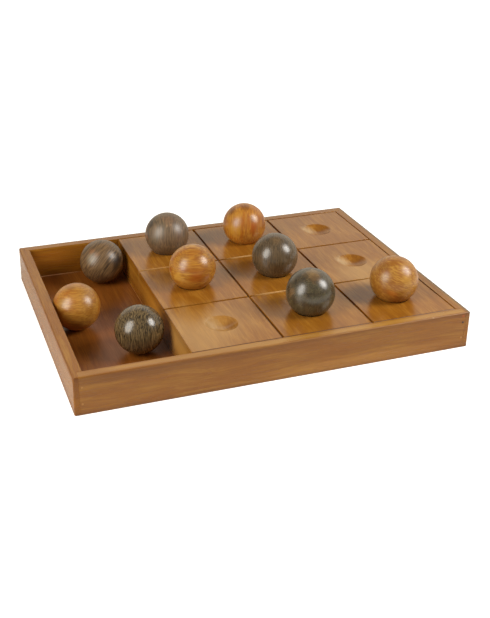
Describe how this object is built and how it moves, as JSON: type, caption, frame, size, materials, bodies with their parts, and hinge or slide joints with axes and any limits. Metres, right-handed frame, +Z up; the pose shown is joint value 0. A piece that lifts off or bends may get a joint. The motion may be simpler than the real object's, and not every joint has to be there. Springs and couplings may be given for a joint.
{
  "type": "tic-tac-toe game",
  "caption": "Shallow wooden tic-tac-toe tray: a raised grooved board with dimples, a storage well and loose dark and light balls.",
  "frame": {"origin": "middle of the tray's underside, on the surface that it stands on", "axes": "+X along the front rail from the storage well towards the board, +Y to the back rail, +Z up"},
  "size_m": [0.306, 0.228, 0.0629],
  "materials": {
    "rail_wood": "honey-brown stained hardwood under satin lacquer",
    "board_wood": "honey-brown stained hardwood under gloss lacquer, grain front to back",
    "floor_wood": "thin dark reddish-brown panel under lacquer",
    "dark_ball_wood": "turned wood stained greenish black with fine brown fibres, gloss lacquer",
    "light_ball_wood": "turned honey-coloured wood, gloss lacquer",
    "brad_steel": "dull steel brads and pins, heads under stain"
  },
  "bodies": {
    "tray": {"front_rail": "rail_wood", "back_rail": "rail_wood", "left_rail": "rail_wood", "right_rail": "rail_wood", "floor_panel": "floor_wood", "playing_board": "board_wood", "corner_brads": "brad_steel", "floor_pins": "brad_steel"},
    "dark_ball_back_left": {"dark_ball_back_left": "dark_ball_wood"},
    "light_ball_back_middle": {"light_ball_back_middle": "light_ball_wood"},
    "light_ball_centre_left": {"light_ball_centre_left": "light_ball_wood"},
    "dark_ball_centre": {"dark_ball_centre": "dark_ball_wood"},
    "dark_ball_front_middle": {"dark_ball_front_middle": "dark_ball_wood"},
    "light_ball_front_right": {"light_ball_front_right": "light_ball_wood"},
    "dark_ball_well_back": {"dark_ball_well_back": "dark_ball_wood"},
    "light_ball_well_middle": {"light_ball_well_middle": "light_ball_wood"},
    "dark_ball_well_front": {"dark_ball_well_front": "dark_ball_wood"}
  },
  "joints": [
    {"name": "dark_ball_back_left_lift", "type": "slide", "parent": "tray", "child": "dark_ball_back_left", "axis": [0, 0, 1], "range_m": [0, 0.045]},
    {"name": "light_ball_back_middle_lift", "type": "slide", "parent": "tray", "child": "light_ball_back_middle", "axis": [0, 0, 1], "range_m": [0, 0.045]},
    {"name": "light_ball_centre_left_lift", "type": "slide", "parent": "tray", "child": "light_ball_centre_left", "axis": [0, 0, 1], "range_m": [0, 0.045]},
    {"name": "dark_ball_centre_lift", "type": "slide", "parent": "tray", "child": "dark_ball_centre", "axis": [0, 0, 1], "range_m": [0, 0.045]},
    {"name": "dark_ball_front_middle_lift", "type": "slide", "parent": "tray", "child": "dark_ball_front_middle", "axis": [0, 0, 1], "range_m": [0, 0.045]},
    {"name": "light_ball_front_right_lift", "type": "slide", "parent": "tray", "child": "light_ball_front_right", "axis": [0, 0, 1], "range_m": [0, 0.045]},
    {"name": "dark_ball_well_back_lift", "type": "slide", "parent": "tray", "child": "dark_ball_well_back", "axis": [0, 0, 1], "range_m": [0, 0.065]},
    {"name": "light_ball_well_middle_lift", "type": "slide", "parent": "tray", "child": "light_ball_well_middle", "axis": [0, 0, 1], "range_m": [0, 0.065]},
    {"name": "dark_ball_well_front_lift", "type": "slide", "parent": "tray", "child": "dark_ball_well_front", "axis": [0, 0, 1], "range_m": [0, 0.065]}
  ]
}
